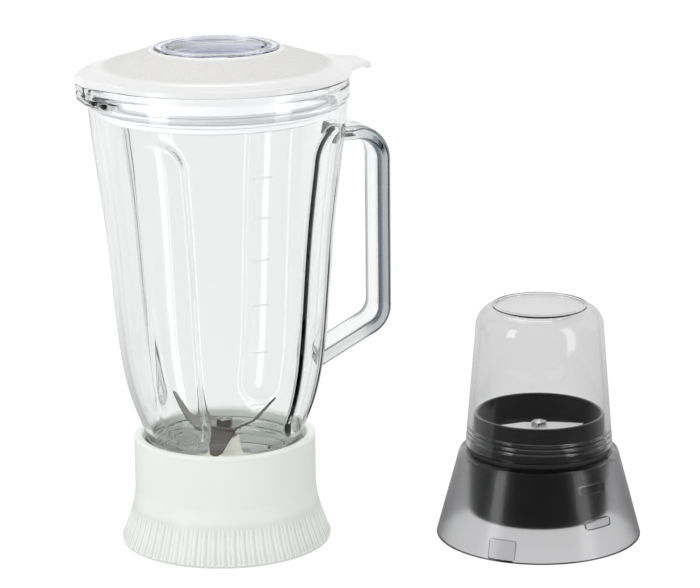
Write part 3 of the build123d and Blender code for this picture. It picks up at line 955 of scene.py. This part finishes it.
view_bearing = math.radians(-20.0)
view_distance = 1.421
view_height = 0.4975
view_pitch = math.radians(14.6)
view_roll = math.radians(-0.57)
jug_offset = 0.0649
lens_length = 149.1
sensor_width = 36.0
near_clip = 0.05
far_clip = 60.0
along = Vector((-math.sin(view_bearing), math.cos(view_bearing), 0.0))
right = Vector((math.cos(view_bearing), math.sin(view_bearing), 0.0))
look = along * math.cos(view_pitch) - Vector((0, 0, math.sin(view_pitch)))
up = right.cross(look)
tilted_right = right * math.cos(view_roll) + up * math.sin(view_roll)
tilted_up = up * math.cos(view_roll) - right * math.sin(view_roll)
camera_data = bpy.data.cameras.new("studio_camera")
camera_data.sensor_width = sensor_width
camera_data.lens = lens_length
camera_data.clip_start = near_clip
camera_data.clip_end = far_clip
camera = bpy.data.objects.new("studio_camera", camera_data)
bpy.context.scene.collection.objects.link(camera)
camera.matrix_world = Matrix((
    (tilted_right.x, tilted_up.x, -look.x, 0),
    (tilted_right.y, tilted_up.y, -look.y, 0),
    (tilted_right.z, tilted_up.z, -look.z, 0),
    (0, 0, 0, 1),
))
camera.location = right * jug_offset - along * view_distance + Vector((0, 0, view_height))
bpy.context.scene.camera = camera


# ---- Studio: a white room, with light at a plain level from all sides ----
# The room is white where it is seen, straight on or through glass. Glass and gloss mirror a room
# that is dark in front and bright behind. Light that goes through glass to a piece is raised,
# because the glass holds much of it back.

white = (1.0, 1.0, 1.0)
room_level = 0.68
floor_level = 0.64
seen_gain = 0.32
inward_gain = 1.0
floor_clear_gain = 0.3
floor_grey = (0.10, 0.10, 0.10)
floor_reach = 14.0
floor_drop = 0.0004


def room_strength(tree, level, clear_gain, echo_gain, mirror_gain):
    """The strength of a part of the room, with a gain for each kind of ray that meets it.

    Clear rays came straight through glass, echoed ones were mirrored on their way through it,
    and mirrored ones come off a surface.
    """
    rays = tree.node("ShaderNodeLightPath")
    seen = Value(tree, rays.outputs["Is Camera Ray"])
    through = Value(tree, rays.outputs["Is Transmission Ray"])
    lighting = Value(tree, rays.outputs["Diffuse Depth"]).clamped()
    mirrored = Value(tree, rays.outputs["Glossy Depth"]).clamped()
    shown = 1.0 - lighting
    strength = level + seen * seen_gain + through * lighting * inward_gain
    strength = strength + through * shown * (1.0 - mirrored) * clear_gain
    strength = strength + through * shown * mirrored * echo_gain
    return strength + (1.0 - through) * shown * mirrored * mirror_gain


scene = bpy.context.scene
scene.view_settings.view_transform = "Standard"
world = bpy.data.worlds.new("studio")
scene.world = world
world.use_nodes = True
world.node_tree.nodes.clear()
sky = Tree(world.node_tree)
way_x, way_y, way_z = sky.axes(sky.add("ShaderNodeTexCoord", output="Generated"))
low = 1.0 - way_z.ramp(0.5, 0.95)
far_wall = (way_x * along.x + way_y * along.y).ramp(-0.35, 0.35) * low
room_light = sky.add("ShaderNodeBackground", {}, {
    "Color": white,
    "Strength": room_strength(
        sky, room_level, low * 0.3 + 0.02, far_wall * 0.6 - 0.32, far_wall * 0.9 - 0.62
    ),
}, output="Background")
sky.node("ShaderNodeOutputWorld", {}, {"Surface": room_light})

floor_finish, tree = finish_of("studio_floor")
x, y = tree.axes(tree.place())[:2]
far_floor = (x * along.x + y * along.y).ramp(-0.2, 0.5)
matt = tree.add("ShaderNodeBsdfDiffuse", {}, {"Color": floor_grey}, output="BSDF")
glow = tree.add("ShaderNodeEmission", {}, {
    "Color": white,
    "Strength": room_strength(
        tree, floor_level, floor_clear_gain, far_floor * 0.6 - 0.38, far_floor * 0.85 - 0.58
    ),
}, output="Emission")
show(tree, tree.add("ShaderNodeAddShader", {}, {0: matt, 1: glow}, output="Shader"))
floor_corners = [(-1, -1), (1, -1), (1, 1), (-1, 1)]
floor_data = bpy.data.meshes.new("studio_floor")
floor_points = [(a * floor_reach, b * floor_reach, 0) for a, b in floor_corners]
floor_data.from_pydata(floor_points, [], [(0, 1, 2, 3)])
floor_data.materials.append(floor_finish)
floor = bpy.data.objects.new("studio_floor", floor_data)
scene.collection.objects.link(floor)
floor.location.z = -floor_drop


def softbox(name, bearing, height, distance, size, power, target):
    """An area lamp that faces a point of the object."""
    data = bpy.data.lights.new(name, "AREA")
    data.shape = "RECTANGLE"
    data.size, data.size_y = size
    data.energy = power
    lamp = bpy.data.objects.new(name, data)
    scene.collection.objects.link(lamp)
    angle = math.radians(bearing)
    lamp.location = Vector((math.sin(angle) * distance, -math.cos(angle) * distance, height))
    lamp.rotation_mode = "QUATERNION"
    lamp.rotation_quaternion = (Vector(target) - lamp.location).to_track_quat("-Z", "Y")


jug_upper = (0.0, 0.0, 0.2)
set_middle = (0.05, -0.02, 0.12)
softbox(
    "softbox_left", bearing=-70.0, height=0.36, distance=0.72, size=(0.24, 0.7), power=2.0,
    target=jug_upper,
)
softbox(
    "softbox_right", bearing=40.0, height=0.35, distance=0.73, size=(0.2, 0.68), power=1.2,
    target=jug_upper,
)
softbox(
    "softbox_top", bearing=160.0, height=1.7, distance=0.9, size=(0.9, 0.9), power=5.6,
    target=set_middle,
)
